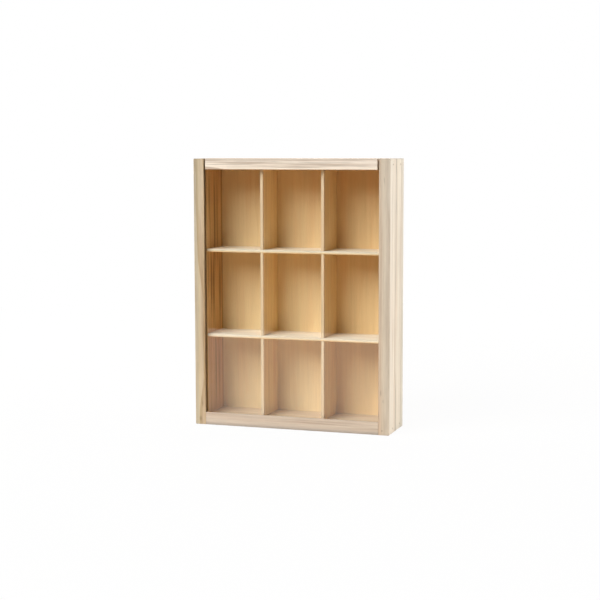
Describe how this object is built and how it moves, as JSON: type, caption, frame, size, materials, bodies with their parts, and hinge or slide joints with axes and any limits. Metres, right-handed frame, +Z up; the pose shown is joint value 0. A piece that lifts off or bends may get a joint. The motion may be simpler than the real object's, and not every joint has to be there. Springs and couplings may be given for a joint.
{
  "type": "display box",
  "caption": "Upright wooden display box with a grid of compartments behind a clear glass front that slides up out of grooves in the side boards.",
  "frame": {"origin": "centre of the footprint, on the surface that the box stands on", "axes": "+X to the right as seen from the glass side, +Y to the back, +Z up"},
  "size_m": [0.23, 0.06, 0.304],
  "materials": {
    "case_board": "bare sanded pale softwood",
    "divider_board": "bare sanded thin board",
    "back_plywood": "bare sanded plywood",
    "clear_glass": "clear, polished, ground edges",
    "steel": "bright drawn wire"
  },
  "bodies": {
    "case": {"left_side": "case_board", "right_side": "case_board", "bottom_board": "case_board", "top_board": "case_board", "back_panel": "back_plywood", "upper_shelf": "divider_board", "lower_shelf": "divider_board", "left_upright": "divider_board", "right_upright": "divider_board", "left_side_brads": "steel", "right_side_brads": "steel", "back_panel_pins": "steel"},
    "lid": {"glass_pane": "clear_glass", "lid_rail": "case_board"}
  },
  "joints": [
    {"name": "lid_slide", "type": "slide", "parent": "case", "child": "lid", "axis": [0, 0, 1], "range_m": [0, 0.301]}
  ]
}
